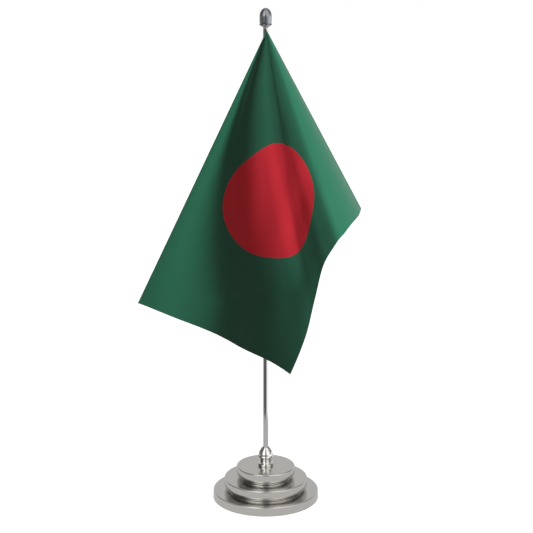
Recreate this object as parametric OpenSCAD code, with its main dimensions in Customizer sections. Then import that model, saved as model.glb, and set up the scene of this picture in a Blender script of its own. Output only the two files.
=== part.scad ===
// Desk flag stand: a stepped, weighted metal base, a slim pole in a turned socket,
// and a small flag hung by one corner from a thread loop under the finial.
// Millimetres, +Z up, origin at the centre of the underside, flag towards -Y.

/* [Base] */
// Radius of the bottom tier at the table
bottom_r = 40; // [36:0.5:44]
// Radius of the middle tier
middle_r = 31.4; // [29:0.1:33]
// Radius of the top tier
top_r = 22; // [20:0.1:24]
// Height of the bottom tier's top face
bottom_top = 7.6; // [7:0.1:9]
// Height that each upper tier adds
tier_rise = 9.45; // [9:0.05:11]
// How far the foot of an upper tier is set in from its wall
foot_inset = 3.4; // [2.5:0.1:4]
// Thickness of the foam pad
pad_t = 1.2; // [1:0.1:2]

/* [Pole] */
// Radius of the pole
pole_r = 1.9; // [1.7:0.05:2.1]
// Height of the pole's upper end
pole_top = 361; // [320:1:380]
// Depth of pole held in the socket
seat_depth = 12; // [10:0.5:12.5]
// Height of the socket above the base
socket_h = 14.7; // [14:0.1:16]
// Radial running clearance of every sliding or turning fit
running = 0.05; // [0.03:0.01:0.08]

/* [Finial] */
// Height of the finial above its resting shoulder
finial_h = 13.6; // [12:0.1:16]
// Radius of the finial's cap
finial_r = 4.4; // [4:0.1:4.6]

/* [Flag] */
// Cut length of the flag, along the fly
flag_w = 225; // [200:1:240]
// Cut height of the flag, along the hoist
flag_h = 150; // [130:1:160]
// Thickness of the doubled cloth
cloth_t = 0.6; // [0.5:0.1:1]
// Radius of the disc
disc_r = 45; // [35:0.5:50]
// Distance from the hoist edge to the centre of the disc
disc_u = 110; // [95:1:120]

/* [Hidden] */
$fn = 72;

satin_nickel = [0.70, 0.69, 0.66];
chrome = [0.78, 0.79, 0.80];
flag_green = [0.05, 0.33, 0.22];
flag_red = [0.72, 0.08, 0.15];

// Heights up the base
rim_gap = 0.6;                                  // table to the bottom tier's lower rim
middle_top = bottom_top + tier_rise;
base_top = middle_top + tier_rise;
socket_top = base_top + socket_h;
pole_foot = socket_top - seat_depth;

// Fastening under the base
bolt_r = 2;                                     // M4
bolt_hole_r = 2.2;
head_r = 3.5;
head_h = 2.6;
washer_r = 4.5;
washer_t = 0.8;
recess_r = 10;
recess_top = 5.4;                               // ceiling of the recess around the bolt head
spigot_r = 3;
spigot_h = 6;
pad_r = bottom_r - 2.5;

// Finial and its stud
stud_r = 1.2;                                   // M2.5
stud_h = 6;
stud_grip = 5;                                  // stud screwed into the pole
neck_r = 1.45;
neck_h = 0.9;                                   // gap that the thread loop turns in
shoulder = pole_top + neck_h;
ring_h = 2.7;
ring_r = finial_r + 0.2;
dome_h = 6;
cap_bore_h = 5;

// Thread loop and the eye at the flag's corner
thread_r = 0.18;
loop_r = neck_r + 0.1 + thread_r;
loop_z = pole_top + neck_h / 2;
pivot = [0.7, -4.3, loop_z - 0.25];             // centre of the eye
eye_r = 0.9;
corner = pivot - [0, 0, eye_r + thread_r + 0.07];

// The hung flag falls in folds that leave the hung corner. Each row is one line through that
// corner: its angle from the fly edge in the flat flag, then where it hangs: its swing from
// the vertical, its lean away from the front, and how much ripples shorten it.
fall = [
    [0, -25.1, -0.3, 0.999],
    [12, -16.7, -0.8, 0.983],
    [23, -6, -9.6, 0.949],
    [30, 0.9, -12.6, 0.922],
    [38, 7.3, -14, 0.913],
    [44, 10.5, -15.2, 0.905],
    [50, 14.2, -16.7, 0.88],
    [56, 19.1, -17.4, 0.883],
    [63, 21.9, -15.6, 0.9205],
    [72, 24.5, -11.8, 0.956],
    [81, 26.6, -6.5, 0.982],
    [90, 27.7, 0.3, 0.992]
];
fold_curl = 5;
curl_mid = 125;
curl_span = 65;
along_fly = 20;                                 // mesh steps along each long edge
along_hoist = 14;                               // mesh steps along each short edge
field_rings = 12;
disc_rings = 5;

// Points of a circular arc in the outline's plane
function arc(centre, r, from, to, steps) =
    [for (i = [0:steps]) let (a = from + (to - from) * i / steps)
        [centre[0] + r * cos(a), centre[1] + r * sin(a)]];

// Smooth value of one column of the fall table at a flat angle
function row_before(angle) =
    max([0, for (i = [0:len(fall) - 2]) if (angle >= fall[i][0]) i]);
function row_slope(i, column) =
    let (low = max(i - 1, 0), high = min(i + 1, len(fall) - 1))
    (fall[high][column] - fall[low][column]) / (fall[high][0] - fall[low][0]);
function fallen(angle, column) =
    let (
        i = row_before(angle),
        span = fall[i + 1][0] - fall[i][0],
        t = (angle - fall[i][0]) / span
    )
    (2 * t^3 - 3 * t^2 + 1) * fall[i][column]
    + (t^3 - 2 * t^2 + t) * span * row_slope(i, column)
    + (3 * t^2 - 2 * t^3) * fall[i + 1][column]
    + (t^3 - t^2) * span * row_slope(i + 1, column);

// The folds curl towards the vertical further down, by this many degrees of flat angle
function ease(low, high, x) =
    let (t = min(max((x - low) / (high - low), 0), 1)) t * t * (3 - 2 * t);
function curl(angle, reach) =
    fold_curl * min(max((reach - curl_mid) / curl_span, -1.3), 1.3)
    * ease(0, 14, angle) * (1 - ease(36, 64, angle));

// Middle surface of the hung cloth at a flat angle and distance from the corner, and its normal
function middle(angle, reach) =
    let (swing = fallen(angle, 1), lean = fallen(min(max(angle - curl(angle, reach), 0), 90), 2))
    corner + reach * fallen(angle, 3)
        * [sin(swing) * cos(lean), sin(lean), -cos(swing) * cos(lean)];
function unit(v) = v / norm(v);
function normal(angle, reach) =
    let (low = max(angle - 1, 0), high = min(angle + 1, 90), r = max(reach, 1))
    unit(cross(middle(angle, r + 0.5) - middle(angle, r - 0.5), middle(high, r) - middle(low, r)));

// Place in the hung flag of a flat point [u along the fly, v down the hoist] on one face
function hung(flat, side) =
    let (angle = atan2(flat[1], flat[0]), reach = norm(flat))
    middle(angle, reach) + side * cloth_t / 2 * normal(angle, reach);

// Flat points around the flag's edge, corner by corner
edge_points = concat(
    [for (i = [0:along_fly - 1]) [flag_w * i / along_fly, 0]],
    [for (i = [0:along_hoist - 1]) [flag_w, flag_h * i / along_hoist]],
    [for (i = [0:along_fly - 1]) [flag_w * (1 - i / along_fly), flag_h]],
    [for (i = [0:along_hoist - 1]) [0, flag_h * (1 - i / along_hoist)]]
);
disc_centre = [disc_u, flag_h / 2];
// The disc's edge, with one point towards each point of the flag's edge
rim_points = [for (p = edge_points) disc_centre + disc_r * unit(p - disc_centre)];

// Faces of a thin closed shell made of rings of n points, the front face's points first
function strip(a, b, n) = [for (i = [0:n - 1]) let (next = (i + 1) % n)
    each [[a + i, a + next, b + next], [a + i, b + next, b + i]]];
function turned_over(faces) = [for (f = faces) [f[0], f[2], f[1]]];
function shell_faces(rings, n) =
    let (back = rings * n)
    concat(
        [for (r = [0:rings - 2]) each strip(r * n, (r + 1) * n, n)],
        [for (r = [0:rings - 2]) each strip(back + (r + 1) * n, back + r * n, n)],
        strip((rings - 1) * n, back + (rings - 1) * n, n),
        turned_over(strip(0, back, n))
    );

// Outline of an upper tier: a foot, a curved underside, a plain wall and an eased top edge
function tier_outline(r, z0, z1, hole) =
    let (foot_r = r - foot_inset, under = 2.6, ease = 0.9, foot_h = 1.5)
    concat(
        [[hole, z0], [foot_r - 0.5, z0]],
        arc([foot_r - 0.5, z0 + 0.5], 0.5, -90, 0, 3),
        [[foot_r, z0 + foot_h]],
        arc([r - under, z0 + foot_h + under], under, -80, 0, 8),
        arc([r - ease, z1 - ease], ease, 0, 90, 5),
        [[hole, z1]]
    );

module base_pad() {
    color("dimgray")
        cylinder(r = pad_r, h = pad_t);
}

module bottom_tier() {
    flare = 0.3;
    ease = 0.8;
    top_wall_r = bottom_r - flare;
    color(satin_nickel)
        rotate_extrude($fn = 144)
            polygon(concat(
                [[bolt_hole_r, recess_top], [recess_r, recess_top], [recess_r, pad_t],
                    [pad_r + 0.3, pad_t], [pad_r + 0.3, rim_gap], [bottom_r - 0.4, rim_gap],
                    [bottom_r, rim_gap + 0.4]],
                arc([top_wall_r - ease, bottom_top - ease], ease, 0, 90, 5),
                [[bolt_hole_r, bottom_top]]
            ));
}

module middle_tier() {
    color(satin_nickel)
        rotate_extrude($fn = 144)
            polygon(tier_outline(middle_r, bottom_top, middle_top, bolt_hole_r));
}

module top_tier() {
    color(satin_nickel)
        difference() {
            rotate_extrude($fn = 144)
                polygon(tier_outline(top_r, middle_top, base_top, bolt_hole_r));
            translate([0, 0, base_top - spigot_h])
                cylinder(r = spigot_r + running, h = spigot_h + 1);
        }
}

module washer(z, outer) {
    translate([0, 0, z])
        difference() {
            cylinder(r = outer, h = washer_t);
            translate([0, 0, -1])
                cylinder(r = bolt_hole_r, h = washer_t + 2);
        }
}

module plain_washer() {
    color(chrome)
        washer(recess_top - washer_t, washer_r);
}

module lock_washer() {
    split = 0.6;
    color(chrome)
        difference() {
            washer(recess_top - 2 * washer_t, washer_r - 0.9);
            translate([bolt_hole_r / 2, -split / 2, recess_top - 3 * washer_t])
                cube([washer_r, split, 3 * washer_t]);
        }
}

module tie_bolt() {
    head_top = recess_top - 2 * washer_t;
    shank_top = pole_foot - 1.2;
    drive_r = 1.4;
    color(chrome)
        difference() {
            union() {
                translate([0, 0, head_top - head_h])
                    cylinder(r = head_r, h = head_h);
                translate([0, 0, head_top])
                    cylinder(r = bolt_r - running, h = shank_top - head_top);
            }
            translate([0, 0, head_top - head_h - 1])
                cylinder(r = drive_r, h = 2.5, $fn = 6);
        }
}

// Turned socket: a flange, a waist, a ridge and a domed shoulder that the pole drops into
module pole_socket() {
    z = base_top;
    color(chrome)
        difference() {
            rotate_extrude()
                polygon(concat(
                    [[0, z - spigot_h], [spigot_r, z - spigot_h], [spigot_r, z], [5.6, z]],
                    [[5.9, z + 0.3], [5.9, z + 1.8], [5.6, z + 2.1], [4.5, z + 2.5]],
                    [[4.25, z + 3.1], [4.3, z + 4.4], [4.6, z + 5.8], [5.0, z + 6.6]],
                    [[5.7, z + 7.1], [5.85, z + 7.6], [5.7, z + 8.1], [5.45, z + 8.5]],
                    [[5.3, z + 9.5], [4.85, z + 11.0], [4.2, z + 12.3], [3.5, z + 13.4]],
                    [[2.8, z + 14.3], [2.4, socket_top], [0, socket_top]]
                ));
            translate([0, 0, pole_foot])
                cylinder(r = pole_r + running, h = seat_depth + 1);
            translate([0, 0, z - spigot_h - 1])
                cylinder(r = bolt_r, h = pole_foot - z + spigot_h);
        }
}

module pole() {
    color(chrome)
        difference() {
            translate([0, 0, pole_foot])
                cylinder(r = pole_r, h = pole_top - pole_foot);
            translate([0, 0, pole_top - stud_grip])
                cylinder(r = stud_r + running, h = stud_grip + 1);
        }
}

module finial_stud() {
    color(chrome) {
        translate([0, 0, pole_top - stud_grip])
            cylinder(r = stud_r, h = stud_grip + neck_h + stud_h);
        translate([0, 0, pole_top])
            cylinder(r = neck_r, h = neck_h);
    }
}

// Flared ring under the cap, with a coved waist where the two meet
module finial_ring() {
    z = shoulder;
    bore_r = stud_r + running;
    color(chrome)
        rotate_extrude()
            polygon([[bore_r, z], [2.3, z], [2.7, z + 0.15], [ring_r - 0.1, z + 1.4],
                [ring_r, z + 1.7], [ring_r - 0.1, z + 2.1], [finial_r - 0.5, z + 2.5],
                [finial_r - 0.5, z + ring_h], [bore_r, z + ring_h]]);
}

module finial_cap() {
    z = shoulder + ring_h;
    top = shoulder + finial_h;
    dome = [for (i = [0:12]) [finial_r * cos(90 * i / 12), top - dome_h + dome_h * sin(90 * i / 12)]];
    bore_r = stud_r + running;
    color(chrome)
        rotate_extrude()
            polygon(concat(
                [[bore_r, z], [finial_r - 0.5, z], [finial_r - 0.1, z + 0.3], [finial_r, z + 0.8]],
                dome,
                [[0, z + cap_bore_h], [bore_r, z + cap_bore_h]]
            ));
}

// Loop of thread: half a turn round the neck and two straight legs that meet inside the eye
heading = atan2(pivot[1], pivot[0]);
module hanging_loop() {
    reach = norm([pivot[0], pivot[1]]) + 0.3;
    off = acos(loop_r / reach);                 // where a leg leaves the turn as a tangent
    sides = 8;
    route = concat(
        [[reach, 0]],
        [for (i = [0:16]) let (a = off + (360 - 2 * off) * i / 16) loop_r * [cos(a), sin(a)]]
    );
    n = len(route);
    // Outward direction in the loop's plane, halfway between the two stretches that meet
    out = [for (i = [0:n - 1])
        let (step = unit(route[(i + 1) % n] - route[i]) + unit(route[i] - route[(i + n - 1) % n]))
        unit([step[1], -step[0]])];
    points = [for (i = [0:n - 1]) for (k = [0:sides - 1])
        let (a = 360 * k / sides, p = route[i] + thread_r * cos(a) * out[i])
        [p[0], p[1], thread_r * sin(a)]];
    color("ivory")
        translate([0, 0, loop_z])
            rotate([0, 0, heading])
                polyhedron(points, [for (i = [0:n - 1]) each
                    strip(i * sides, ((i + 1) % n) * sides, sides)]);
}

// Stitched eye at the hung corner, linked through the loop
module corner_eye() {
    color("ivory")
        translate(pivot)
            rotate([90, 0, heading])
                rotate_extrude($fn = 32)
                    translate([eye_r, 0])
                        circle(r = thread_r, $fn = 16);
}

module flag_field() {
    n = len(edge_points);
    flat_rings = [for (j = [0:field_rings]) let (t = j / field_rings)
        [for (i = [0:n - 1]) rim_points[i] * (1 - t) + edge_points[i] * t]];
    color(flag_green)
        polyhedron(
            [for (side = [1, -1]) for (ring = flat_rings) for (p = ring) hung(p, side)],
            shell_faces(field_rings + 1, n)
        );
}

module flag_disc() {
    n = len(rim_points);
    rings = disc_rings;
    last = 2 * rings * n;
    // Rings from the disc's middle out, and one point on each face at the centre
    points = concat(
        [for (side = [1, -1]) for (j = [1:rings]) for (p = rim_points)
            hung(disc_centre + (p - disc_centre) * j / rings, side)],
        [hung(disc_centre, 1), hung(disc_centre, -1)]
    );
    faces = concat(
        [for (r = [0:rings - 2]) each strip(r * n, (r + 1) * n, n)],
        [for (r = [0:rings - 2]) each strip((rings + r + 1) * n, (rings + r) * n, n)],
        strip((rings - 1) * n, (2 * rings - 1) * n, n),
        [for (i = [0:n - 1]) [last, (i + 1) % n, i]],
        [for (i = [0:n - 1]) [last + 1, rings * n + i, rings * n + (i + 1) % n]]
    );
    color(flag_red)
        polyhedron(points, faces);
}

base_pad();
bottom_tier();
middle_tier();
top_tier();
plain_washer();
lock_washer();
tie_bolt();
pole_socket();
pole();
finial_stud();
finial_ring();
finial_cap();
hanging_loop();
corner_eye();
flag_field();
flag_disc();
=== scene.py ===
import math

import bpy
import numpy as np
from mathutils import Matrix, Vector


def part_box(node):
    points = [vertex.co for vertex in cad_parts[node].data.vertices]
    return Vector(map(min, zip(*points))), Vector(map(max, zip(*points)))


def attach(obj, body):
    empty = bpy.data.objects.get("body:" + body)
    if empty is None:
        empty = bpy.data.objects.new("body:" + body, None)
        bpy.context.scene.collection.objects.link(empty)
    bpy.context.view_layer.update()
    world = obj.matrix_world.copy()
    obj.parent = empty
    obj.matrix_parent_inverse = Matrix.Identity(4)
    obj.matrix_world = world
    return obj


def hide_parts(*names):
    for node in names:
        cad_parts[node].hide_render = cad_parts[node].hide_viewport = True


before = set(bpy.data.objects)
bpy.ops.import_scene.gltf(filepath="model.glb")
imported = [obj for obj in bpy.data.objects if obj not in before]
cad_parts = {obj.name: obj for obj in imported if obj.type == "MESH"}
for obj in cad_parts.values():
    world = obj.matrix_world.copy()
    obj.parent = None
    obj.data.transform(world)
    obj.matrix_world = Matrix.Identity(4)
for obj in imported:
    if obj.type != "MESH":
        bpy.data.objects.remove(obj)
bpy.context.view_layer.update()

# ---------------------------------------------------------------- sizes, in metres
MM = 0.001
FLAG_W = 225 * MM            # along the fly
FLAG_H = 150 * MM            # along the hoist
DISC_R = 45 * MM
DISC_CENTRE = np.array([110 * MM, FLAG_H / 2])
CLOTH_T = 0.26 * MM
HEM_W = 3.0 * MM
HEM_EXTRA = 0.16 * MM        # how much thicker the cloth is where the hem doubles it
WEAVE_MM = 0.32              # thread spacing, in the cloth's own millimetres
EYE_R = 0.9 * MM
THREAD_R = 0.18 * MM

eye_low, eye_high = (np.array(c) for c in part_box("corner_eye"))
# The flag's hung corner is just below the eye
CORNER = np.array([(eye_low[0] + eye_high[0]) / 2, (eye_low[1] + eye_high[1]) / 2, eye_low[2] - 0.05 * MM])

# One row for each line through the hung corner: its angle from the fly edge in the flat
# flag, its swing from the vertical, its lean away from the front, and its draw-in.
FALL = np.array([
    [0, -25.1, -0.3, 0.999],
    [12, -16.7, -0.8, 0.983],
    [23, -6, -9.6, 0.949],
    [30, 0.9, -12.6, 0.922],
    [38, 7.3, -14, 0.913],
    [44, 10.5, -15.2, 0.905],
    [50, 14.2, -16.7, 0.88],
    [56, 19.1, -17.4, 0.883],
    [63, 21.9, -15.6, 0.9205],
    [72, 24.5, -11.8, 0.956],
    [81, 26.6, -6.5, 0.982],
    [90, 27.7, 0.3, 0.992],
])

FOLD_CURL = 5                # degrees of flat angle
CURL_MID, CURL_SPAN = 125 * MM, 65 * MM


# ---------------------------------------------------------------- the hung cloth
def fallen(angle, column):
    """Smooth value of one column of FALL at flat angles in degrees."""
    knots, values = FALL[:, 0], FALL[:, column]
    slopes = np.empty(len(knots))
    slopes[1:-1] = (values[2:] - values[:-2]) / (knots[2:] - knots[:-2])
    slopes[0] = (values[1] - values[0]) / (knots[1] - knots[0])
    slopes[-1] = (values[-1] - values[-2]) / (knots[-1] - knots[-2])
    i = np.clip(np.searchsorted(knots, angle, side="right") - 1, 0, len(knots) - 2)
    span = knots[i + 1] - knots[i]
    t = (angle - knots[i]) / span
    return (
        (2 * t**3 - 3 * t**2 + 1) * values[i]
        + (t**3 - 2 * t**2 + t) * span * slopes[i]
        + (3 * t**2 - 2 * t**3) * values[i + 1]
        + (t**3 - t**2) * span * slopes[i + 1]
    )


def ease(low, high, x):
    t = np.clip((x - low) / (high - low), 0, 1)
    return t * t * (3 - 2 * t)


def hung(flat):
    """Where flat points (n, 2), in metres from the hung corner, are in the hung flag."""
    reach = np.hypot(flat[:, 0], flat[:, 1])
    angle = np.degrees(np.arctan2(flat[:, 1], flat[:, 0]))
    # The folds curl towards the vertical further down
    curl = FOLD_CURL * np.clip((reach - CURL_MID) / CURL_SPAN, -1.3, 1.3)
    curl *= ease(0, 14, angle) * (1 - ease(36, 64, angle))
    swing = np.radians(fallen(angle, 1))
    lean = np.radians(fallen(np.clip(angle - curl, 0, 90), 2))
    line = np.stack([np.sin(swing) * np.cos(lean), np.sin(lean), -np.cos(swing) * np.cos(lean)], 1)
    place = CORNER + (reach * fallen(angle, 3))[:, None] * line
    u, v = flat[:, 0] / FLAG_W, flat[:, 1] / FLAG_H
    # Small soft ripples, deeper towards the free edges
    ripple = (
        0.9 * np.sin(2 * np.pi * (3.1 * u + 1.3 * v) + 0.6) * u * v
        + 0.5 * np.sin(2 * np.pi * (1.4 * u - 3.3 * v) + 2.1) * u
        + 0.35 * np.sin(2 * np.pi * (5.2 * v + 0.7 * u)) * v * (1 - u)
    )
    place[:, 1] += -0.6 * MM * ripple * np.clip(reach / (80 * MM), 0, 1)
    return place


def cloth_normals(flat):
    """Unit normals of the hung cloth, towards the front."""
    step = 0.2 * MM
    along_u = hung(flat + [step, 0]) - hung(np.maximum(flat - [step, 0], 0))
    along_v = hung(flat + [0, step]) - hung(np.maximum(flat - [0, step], 0))
    n = np.cross(along_u, along_v)
    return n / np.maximum(np.linalg.norm(n, axis=1), 1e-12)[:, None]


def rectangle(inset, along_fly, along_hoist):
    """Points round a rectangle that lies inset from the flag's edge, corner by corner."""
    w, h = FLAG_W - 2 * inset, FLAG_H - 2 * inset
    a = np.arange(along_fly) / along_fly
    b = np.arange(along_hoist) / along_hoist
    sides = [
        np.stack([w * a, 0 * a], 1),
        np.stack([0 * b + w, h * b], 1),
        np.stack([w * (1 - a), 0 * a + h], 1),
        np.stack([0 * b, h * (1 - b)], 1),
    ]
    return np.concatenate(sides) + inset


def cloth_shell(name, rings, thickness, closed_centre):
    """A thin closed shell from flat rings of n points each. thickness has one value per ring."""
    n = len(rings[0])
    flat = np.concatenate(rings)
    half = np.repeat(np.array(thickness) / 2, n)
    if closed_centre:
        flat = np.concatenate([flat, [DISC_CENTRE]])
        half = np.append(half, thickness[0] / 2)
    place, normal = hung(flat), cloth_normals(flat)
    count = len(flat)
    verts = np.concatenate([place + normal * half[:, None], place - normal * half[:, None]])
    faces, kinds = [], []
    for r in range(len(rings) - 1):
        for i in range(n):
            a, b = r * n + i, r * n + (i + 1) % n
            faces += [(a, a + n, b + n, b), (count + a, count + b, count + b + n, count + a + n)]
            kinds += [1, -1]
    last = (len(rings) - 1) * n
    for i in range(n):
        a, b = last + i, last + (i + 1) % n
        faces.append((a, count + a, count + b, b))
        kinds.append(0)
        a, b = i, (i + 1) % n
        if closed_centre:
            faces += [(n * len(rings), a, b), (count + n * len(rings), count + b, count + a)]
            kinds += [1, -1]
        else:
            faces.append((b, count + b, count + a, a))
            kinds.append(0)
    mesh = bpy.data.meshes.new(name)
    mesh.from_pydata(verts.tolist(), [], faces)
    mesh.polygons.foreach_set("use_smooth", [True] * len(faces))
    uv = mesh.uv_layers.new(name="cloth_mm")
    both = np.concatenate([flat, flat]) / MM
    loops = np.zeros(len(mesh.loops), dtype=np.int32)
    mesh.loops.foreach_get("vertex_index", loops)
    uv.data.foreach_set("uv", both[loops].astype(np.float32).ravel())
    mesh.update()
    face_normals = np.zeros(len(faces) * 3)
    mesh.polygons.foreach_get("normal", face_normals)
    face_normals = face_normals.reshape(-1, 3)
    split = []
    for face, kind, flat_normal in zip(faces, kinds, face_normals):
        for v in face:
            split.append(flat_normal if kind == 0 else normal[v % count] * kind)
    mesh.normals_split_custom_set([tuple(map(float, s)) for s in split])
    piece = bpy.data.objects.new(name, mesh)
    bpy.context.scene.collection.objects.link(piece)
    return piece


# ---------------------------------------------------------------- materials
def new_material(name):
    material = bpy.data.materials.new(name)
    material.use_nodes = True
    nodes = material.node_tree.nodes
    return material, nodes, material.node_tree.links, nodes["Principled BSDF"]


def node(nodes, kind, **settings):
    made = nodes.new(kind)
    for key, value in settings.items():
        setattr(made, key, value)
    return made


def math_node(nodes, links, operation, a, b=None):
    made = node(nodes, "ShaderNodeMath", operation=operation)
    for socket, value in zip(made.inputs, (a, b)):
        if value is None:
            continue
        if isinstance(value, (int, float)):
            socket.default_value = value
        else:
            links.new(value, socket)
    return made.outputs[0]


def satin(name, colour, shade):
    """Satin-woven polyester: fine threads in bump and colour, with a soft sheen."""
    material, nodes, links, shader = new_material(name)
    uv = node(nodes, "ShaderNodeUVMap", uv_map="cloth_mm")
    split = node(nodes, "ShaderNodeSeparateXYZ")
    links.new(uv.outputs[0], split.inputs[0])
    threads = 2 * math.pi / WEAVE_MM
    warp = math_node(nodes, links, "SINE", math_node(nodes, links, "MULTIPLY", split.outputs[0], threads))
    weft = math_node(nodes, links, "SINE", math_node(nodes, links, "MULTIPLY", split.outputs[1], threads))
    weave = math_node(nodes, links, "MULTIPLY", warp, weft)
    slub = node(nodes, "ShaderNodeTexNoise")
    slub.inputs["Scale"].default_value = 0.35
    slub.inputs["Detail"].default_value = 4
    stretch = node(nodes, "ShaderNodeMapping")
    stretch.inputs["Scale"].default_value = (0.25, 2.2, 1)
    links.new(uv.outputs[0], stretch.inputs[0])
    links.new(stretch.outputs[0], slub.inputs["Vector"])
    mix = node(nodes, "ShaderNodeMix", data_type="RGBA")
    links.new(slub.outputs[0], mix.inputs[0])
    mix.inputs[6].default_value = (*shade, 1)
    mix.inputs[7].default_value = (*colour, 1)
    links.new(mix.outputs[2], shader.inputs["Base Color"])
    bump = node(nodes, "ShaderNodeBump")
    bump.inputs["Strength"].default_value = 0.12
    bump.inputs["Distance"].default_value = 0.05 * MM
    links.new(weave, bump.inputs["Height"])
    links.new(bump.outputs[0], shader.inputs["Normal"])
    shader.inputs["Roughness"].default_value = 0.5
    shader.inputs["Specular IOR Level"].default_value = 0.25
    shader.inputs["Sheen Weight"].default_value = 0.25
    shader.inputs["Sheen Roughness"].default_value = 0.4
    return material


def turned_metal(name, colour, roughness, groove, anisotropic=0.0, variation=0.06):
    """Lathe-turned metal: fine rings round Z in bump, roughness and tone."""
    material, nodes, links, shader = new_material(name)
    place = node(nodes, "ShaderNodeTexCoord")
    split = node(nodes, "ShaderNodeSeparateXYZ")
    links.new(place.outputs["Object"], split.inputs[0])
    across = math_node(
        nodes, links, "SQRT",
        math_node(
            nodes, links, "ADD",
            math_node(nodes, links, "MULTIPLY", split.outputs[0], split.outputs[0]),
            math_node(nodes, links, "MULTIPLY", split.outputs[1], split.outputs[1]),
        ),
    )
    turn = math_node(nodes, links, "ARCTAN2", split.outputs[1], split.outputs[0])
    ring_place = node(nodes, "ShaderNodeCombineXYZ")
    links.new(math_node(nodes, links, "MULTIPLY", across, 6000), ring_place.inputs[0])
    links.new(math_node(nodes, links, "MULTIPLY", split.outputs[2], 6000), ring_place.inputs[1])
    links.new(math_node(nodes, links, "MULTIPLY", turn, 3.0), ring_place.inputs[2])
    rings = node(nodes, "ShaderNodeTexNoise")
    rings.inputs["Scale"].default_value = 1.0
    rings.inputs["Detail"].default_value = 3
    links.new(ring_place.outputs[0], rings.inputs["Vector"])
    mix = node(nodes, "ShaderNodeMix", data_type="RGBA")
    links.new(rings.outputs[0], mix.inputs[0])
    mix.inputs[6].default_value = (*[c * (1 - variation) for c in colour], 1)
    mix.inputs[7].default_value = (*[min(c * (1 + variation), 1) for c in colour], 1)
    links.new(mix.outputs[2], shader.inputs["Base Color"])
    rough = node(nodes, "ShaderNodeMapRange")
    rough.inputs["To Min"].default_value = roughness * 0.75
    rough.inputs["To Max"].default_value = roughness * 1.3
    links.new(rings.outputs[0], rough.inputs["Value"])
    links.new(rough.outputs[0], shader.inputs["Roughness"])
    bump = node(nodes, "ShaderNodeBump")
    bump.inputs["Strength"].default_value = groove
    bump.inputs["Distance"].default_value = 0.02 * MM
    links.new(rings.outputs[0], bump.inputs["Height"])
    links.new(bump.outputs[0], shader.inputs["Normal"])
    shader.inputs["Metallic"].default_value = 1.0
    if anisotropic:
        shader.inputs["Anisotropic"].default_value = anisotropic
        tangent = node(nodes, "ShaderNodeTangent", direction_type="RADIAL", axis="Z")
        links.new(tangent.outputs[0], shader.inputs["Tangent"])
    return material


def speckled(name, colour, roughness, scale, depth):
    """Foam or thread: a fine cellular grain."""
    material, nodes, links, shader = new_material(name)
    place = node(nodes, "ShaderNodeTexCoord")
    grain = node(nodes, "ShaderNodeTexNoise")
    grain.inputs["Scale"].default_value = scale
    grain.inputs["Detail"].default_value = 4
    links.new(place.outputs["Object"], grain.inputs["Vector"])
    mix = node(nodes, "ShaderNodeMix", data_type="RGBA")
    links.new(grain.outputs[0], mix.inputs[0])
    mix.inputs[6].default_value = (*[c * 0.7 for c in colour], 1)
    mix.inputs[7].default_value = (*colour, 1)
    links.new(mix.outputs[2], shader.inputs["Base Color"])
    bump = node(nodes, "ShaderNodeBump")
    bump.inputs["Strength"].default_value = 0.5
    bump.inputs["Distance"].default_value = depth
    links.new(grain.outputs[0], bump.inputs["Height"])
    links.new(bump.outputs[0], shader.inputs["Normal"])
    shader.inputs["Roughness"].default_value = roughness
    return material


def dress(name, material):
    """Puts a material on a CAD node, in place of the plain one."""
    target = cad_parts[name]
    target.data.materials.clear()
    target.data.materials.append(material)


satin_nickel = turned_metal("satin_nickel", (0.66, 0.645, 0.62), 0.17, 0.35, anisotropic=0.5)
socket_chrome = turned_metal("socket_chrome", (0.80, 0.79, 0.76), 0.06, 0.03)
pole_chrome = turned_metal("pole_chrome", (0.62, 0.62, 0.64), 0.10, 0.03)
finial_chrome = turned_metal("finial_chrome", (0.34, 0.355, 0.375), 0.30, 0.05)
zinc_steel = turned_metal("zinc_steel", (0.60, 0.61, 0.63), 0.28, 0.2)
foam = speckled("foam_pad", (0.03, 0.03, 0.032), 0.9, 2500, 0.1 * MM)
thread = speckled("white_thread", (0.82, 0.80, 0.75), 0.8, 6000, 0.05 * MM)
green = satin("flag_green", (0.024, 0.156, 0.090), (0.020, 0.138, 0.078))
red = satin("flag_red", (0.80, 0.040, 0.062), (0.745, 0.036, 0.056))

for name in ("bottom_tier", "middle_tier", "top_tier"):
    dress(name, satin_nickel)
dress("pole_socket", socket_chrome)
dress("pole", pole_chrome)
for name in ("finial_ring", "finial_cap"):
    dress(name, finial_chrome)
for name in ("tie_bolt", "plain_washer", "lock_washer", "finial_stud"):
    dress(name, zinc_steel)
dress("base_pad", foam)

# ---------------------------------------------------------------- the flag
ALONG_FLY, ALONG_HOIST = 75, 50
FIELD_STEPS = 46
DISC_STEPS = 22
edge = rectangle(0, ALONG_FLY, ALONG_HOIST)
hem_line = rectangle(HEM_W, ALONG_FLY, ALONG_HOIST)
towards = edge - DISC_CENTRE
rim = DISC_CENTRE + DISC_R * towards / np.linalg.norm(towards, axis=1)[:, None]
field_rings = [rim * (1 - t) + hem_line * t for t in np.linspace(0, 1, FIELD_STEPS)]
field_thick = [CLOTH_T] * FIELD_STEPS
for inset in (HEM_W - 0.25 * MM, HEM_W * 0.55, 0.3 * MM, 0):
    field_rings.append(rectangle(inset, ALONG_FLY, ALONG_HOIST))
    field_thick.append(CLOTH_T + HEM_EXTRA)
field_thick[-1] = CLOTH_T
flag_field = cloth_shell("flag_field_cloth", field_rings, field_thick, False)
disc_rings = [DISC_CENTRE + (rim - DISC_CENTRE) * j / DISC_STEPS for j in range(1, DISC_STEPS + 1)]
flag_disc = cloth_shell("flag_disc_cloth", disc_rings, [CLOTH_T] * DISC_STEPS, True)
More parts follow.
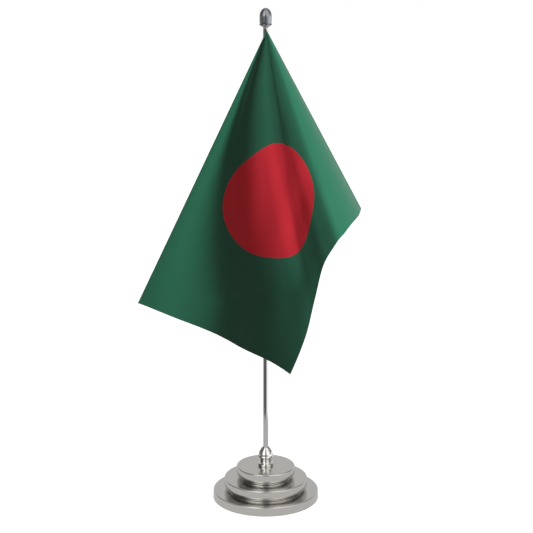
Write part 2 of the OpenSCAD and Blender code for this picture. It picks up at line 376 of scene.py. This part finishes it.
for piece, material, slot, cad in (
    (flag_field, green, "flag_green", "flag_field"),
    (flag_disc, red, "flag_red", "flag_disc"),
):
    piece.data.materials.append(material)
    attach(piece, "flag")
    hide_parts(cad)


# ---------------------------------------------------------------- the thread loop and eye
def twisted(name, route, closed, radius, pitch, sides=10):
    """Two-ply thread: two strands of half the radius wound round a smooth route."""
    route = np.array(route)
    n = len(route)
    if closed:
        ahead, behind = np.roll(route, -1, axis=0), np.roll(route, 1, axis=0)
    else:
        ahead = np.vstack([route[1:], route[-1:]])
        behind = np.vstack([route[:1], route[:-1]])
    along = ahead - behind
    along /= np.linalg.norm(along, axis=1)[:, None]
    steps = np.linalg.norm(np.diff(np.vstack([route, route[:1]]) if closed else route, axis=0), axis=1)
    gone = np.concatenate([[0], np.cumsum(steps)])
    turns = max(1, round(gone[-1] / pitch))
    angle = 2 * math.pi * turns * gone[:n] / gone[-1]
    # A sideways direction carried along the route without twist
    side = np.empty_like(route)
    start = np.cross(along[0], [0.0, 0.0, 1.0])
    if np.linalg.norm(start) < 0.1:
        start = np.cross(along[0], [1.0, 0.0, 0.0])
    side[0] = start / np.linalg.norm(start)
    for i in range(1, n):
        carried = side[i - 1] - along[i] * np.dot(side[i - 1], along[i])
        side[i] = carried / np.linalg.norm(carried)
    if closed:
        # Take up what is left over where the route meets its start
        last = side[-1] - along[0] * np.dot(side[-1], along[0])
        last /= np.linalg.norm(last)
        over = math.atan2(np.dot(np.cross(side[0], last), along[0]), np.dot(side[0], last))
        angle = angle - over * gone[:n] / gone[-1]
    up = np.cross(along, side)
    verts, faces = [], []
    for ply in (0, math.pi):
        base = len(verts)
        a = angle + ply
        centre = route + radius / 2 * (np.cos(a)[:, None] * side + np.sin(a)[:, None] * up)
        for i in range(n):
            for k in range(sides):
                b = a[i] + 2 * math.pi * k / sides
                spoke = math.cos(b) * side[i] + math.sin(b) * up[i]
                verts.append(centre[i] + radius / 2 * 1.02 * spoke)
        for i in range(n if closed else n - 1):
            j = (i + 1) % n
            here, there = base + i * sides, base + j * sides
            for k in range(sides):
                m = (k + 1) % sides
                faces.append((here + k, here + m, there + m, there + k))
        if not closed:
            faces.append(tuple(base + k for k in reversed(range(sides))))
            faces.append(tuple(base + (n - 1) * sides + k for k in range(sides)))
    mesh = bpy.data.meshes.new(name)
    mesh.from_pydata([tuple(map(float, v)) for v in verts], [], faces)
    mesh.polygons.foreach_set("use_smooth", [True] * len(faces))
    mesh.update()
    piece = bpy.data.objects.new(name, mesh)
    bpy.context.scene.collection.objects.link(piece)
    return piece


PIVOT = (eye_low + eye_high) / 2
loop_low, loop_high = (np.array(c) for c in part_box("hanging_loop"))
LOOP_Z = (loop_low[2] + loop_high[2]) / 2
NECK_R = 1.45 * MM
TURN_R = NECK_R + 0.1 * MM + THREAD_R
REACH = math.hypot(PIVOT[0], PIVOT[1]) + 0.3 * MM
HEADING = math.atan2(PIVOT[1], PIVOT[0])


def loop_route():
    """Round the neck, then straight out to the eye and back, with the outer bend rounded."""
    off = math.acos(TURN_R / REACH)
    turn = [
        TURN_R * np.array([math.cos(a), math.sin(a)])
        for a in np.linspace(off, 2 * math.pi - off, 90)
    ]
    tip = np.array([REACH, 0.0])
    # The two legs meet in a small bend at the eye
    bend_r = 0.34 * MM
    lean = math.pi / 2 - off
    bend_centre = tip - np.array([bend_r / math.sin(lean), 0])
    bend = [
        bend_centre + bend_r * np.array([math.cos(a), math.sin(a)])
        for a in np.linspace(-off, off, 14)
    ]
    corners = [turn[-1], bend[0]], [bend[-1], turn[0]]
    legs = [[a + (b - a) * t for t in np.linspace(0, 1, 34)[1:-1]] for a, b in corners]
    flat = turn + legs[0] + bend + legs[1]
    ahead_x, ahead_y = math.cos(HEADING), math.sin(HEADING)
    return [
        np.array([ahead_x * x - ahead_y * y, ahead_y * x + ahead_x * y, LOOP_Z])
        for x, y in flat
    ]


def eye_route():
    """A ring of thread in the upright plane through the loop's heading."""
    out = np.array([math.cos(HEADING), math.sin(HEADING), 0])
    return [
        PIVOT + EYE_R * (math.cos(a) * out + math.sin(a) * np.array([0, 0, 1.0]))
        for a in np.linspace(0, 2 * math.pi, 96, endpoint=False)
    ]


loop_thread = twisted("hanging_loop_thread", loop_route(), True, THREAD_R, 1.3 * MM)
eye_thread = twisted("corner_eye_thread", eye_route(), True, THREAD_R, 1.2 * MM)
for piece, body, cad in (
    (loop_thread, "loop", "hanging_loop"),
    (eye_thread, "eye", "corner_eye"),
):
    piece.data.materials.append(thread)
    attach(piece, body)
    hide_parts(cad)

# ---------------------------------------------------------------- floor, light and camera
scene = bpy.context.scene
scene.view_settings.view_transform = "Standard"


def stage_plane(name, corners, colour, glow):
    """A flat part of the studio, not of the stand."""
    mesh = bpy.data.meshes.new(name)
    mesh.from_pydata(corners, [], [(0, 1, 2, 3)])
    plane = bpy.data.objects.new(name, mesh)
    scene.collection.objects.link(plane)
    material, _nodes, _links, shader = new_material(name)
    shader.inputs["Base Color"].default_value = (*colour, 1)
    shader.inputs["Roughness"].default_value = 0.9
    shader.inputs["Specular IOR Level"].default_value = 0.0
    shader.inputs["Emission Color"].default_value = (1, 1, 1, 1)
    shader.inputs["Emission Strength"].default_value = glow
    mesh.materials.append(material)
    plane.visible_diffuse = False
    return plane


FLOOR_REACH = 60             # far enough that no view shows its edge
floor = stage_plane(
    "floor",
    [(x * FLOOR_REACH, y * FLOOR_REACH, 0) for x, y in ((-1, -1), (1, -1), (1, 1), (-1, 1))],
    (0.25, 0.25, 0.25),
    0.96,
)
floor.visible_glossy = False


def glowing_table_reflection(name, radius, z, grey):
    """A glowing round, seen only in the metal: a painted reflection of the pale table under the stand."""
    count = 64
    angles = [2 * math.pi * i / count for i in range(count)]
    round_edge = [(radius * math.cos(a), radius * math.sin(a), z) for a in angles]
    mesh = bpy.data.meshes.new(name)
    mesh.from_pydata(round_edge, [], [tuple(range(count))])
    disc = bpy.data.objects.new(name, mesh)
    scene.collection.objects.link(disc)
    material, _nodes, _links, shader = new_material(name)
    shader.inputs["Base Color"].default_value = (0, 0, 0, 1)
    shader.inputs["Specular IOR Level"].default_value = 0.0
    # The glow paints the table's reflection into the metal
    shader.inputs["Emission Color"].default_value = (1, 1, 1, 1)
    shader.inputs["Emission Strength"].default_value = grey
    mesh.materials.append(material)
    disc.visible_camera = False
    disc.visible_diffuse = False
    disc.visible_shadow = False


# A glowing round under the stand paints the table's reflection into the metal
glowing_table_reflection("table_reflection_glow", 0.18, 0.0002, 0.62)

world = bpy.data.worlds.new("studio")
scene.world = world
world.use_nodes = True
nodes, links = world.node_tree.nodes, world.node_tree.links
background = nodes["Background"]
direction = node(nodes, "ShaderNodeTexCoord")
split = node(nodes, "ShaderNodeSeparateXYZ")
links.new(direction.outputs["Generated"], split.inputs[0])
# 0.5 is behind the camera, 0.25 to its left, 0.75 to its right, 0 and 1 beyond the stand
front = math_node(nodes, links, "MULTIPLY", split.outputs[1], -1.0)
turn = math_node(nodes, links, "ARCTAN2", split.outputs[0], front)
around = math_node(nodes, links, "ADD", math_node(nodes, links, "DIVIDE", turn, 2 * math.pi), 0.5)
ROOM_BRIGHT = 2.0            # the brightest soft box, where the floor is about 1
ROOM_ABOVE = [
    (0.00, 0.30), (0.12, 0.29), (0.155, 0.07), (0.30, 0.06), (0.345, 0.25), (0.37, 0.7), (0.455, 0.8),
    (0.475, 0.15), (0.525, 0.15), (0.56, 0.6), (0.65, 0.6), (0.70, 0.35), (0.77, 0.10), (0.83, 0.10),
    (0.86, 0.28), (1.00, 0.30),
]
ROOM_BELOW = [
    (0.00, 0.30), (0.25, 0.16), (0.36, 0.05), (0.53, 0.06), (0.60, 0.25), (0.66, 0.60), (0.80, 0.80),
    (0.90, 0.45), (1.00, 0.30),
]


def room_ramp(levels):
    """The room's brightness all round, from (place round, level) pairs."""
    ramp = node(nodes, "ShaderNodeValToRGB")
    links.new(around, ramp.inputs[0])
    elements = ramp.color_ramp.elements
    while len(elements) > 1:
        elements.remove(elements[-1])
    elements[0].position = levels[0][0]
    elements[0].color = (levels[0][1],) * 3 + (1,)
    for position, level in levels[1:]:
        element = elements.new(position)
        element.color = (level,) * 3 + (1,)
    return ramp.outputs[0]


above = node(nodes, "ShaderNodeMapRange")
links.new(split.outputs[2], above.inputs["Value"])
above.inputs["From Min"].default_value = -0.10
above.inputs["From Max"].default_value = 0.05
room = node(nodes, "ShaderNodeMix", data_type="RGBA")
links.new(above.outputs[0], room.inputs[0])
links.new(room_ramp(ROOM_BELOW), room.inputs[6])
links.new(room_ramp(ROOM_ABOVE), room.inputs[7])
# The cloth sees only a dim room, the metal sees the room with its bands
light_path = node(nodes, "ShaderNodeLightPath")
seen = node(nodes, "ShaderNodeMix", data_type="RGBA")
links.new(light_path.outputs["Is Diffuse Ray"], seen.inputs[0])
links.new(room.outputs[2], seen.inputs[6])
seen.inputs[7].default_value = (0.085, 0.040, 0.040, 1)
# Straight to the camera, the room beyond the floor is as pale as the floor
open_air = node(nodes, "ShaderNodeMix", data_type="RGBA")
links.new(light_path.outputs["Is Camera Ray"], open_air.inputs[0])
links.new(seen.outputs[2], open_air.inputs[6])
open_air.inputs[7].default_value = (0.5, 0.5, 0.5, 1)
links.new(open_air.outputs[2], background.inputs[0])
background.inputs[1].default_value = ROOM_BRIGHT


def area_light(name, place, target, size, power):
    light = bpy.data.lights.new(name, "AREA")
    light.shape = "RECTANGLE"
    light.size, light.size_y = size
    light.energy = power
    light.use_shadow = False
    lamp = bpy.data.objects.new(name, light)
    lamp.visible_glossy = False
    scene.collection.objects.link(lamp)
    lamp.location = place
    lamp.rotation_euler = (Vector(target) - Vector(place)).to_track_quat("-Z", "Y").to_euler()
    return lamp


middle = (0, 0, 0.2)
area_light("back", (-0.9, 1.4, 0.5), middle, (0.9, 0.9), 22)
area_light("key", (1.35, -0.75, 0.55), middle, (0.7, 0.9), 35)

camera_data = bpy.data.cameras.new("camera")
camera = bpy.data.objects.new("camera", camera_data)
scene.collection.objects.link(camera)
scene.camera = camera
CAMERA_DISTANCE, CAMERA_HEIGHT, CAMERA_DOWN = 1.5, 0.62, 16.233
camera.location = (0.6 * MM, -CAMERA_DISTANCE, CAMERA_HEIGHT)
camera.rotation_euler = (math.radians(90 - CAMERA_DOWN), 0, 0)
camera_data.sensor_width = 36
camera_data.lens = 142.8
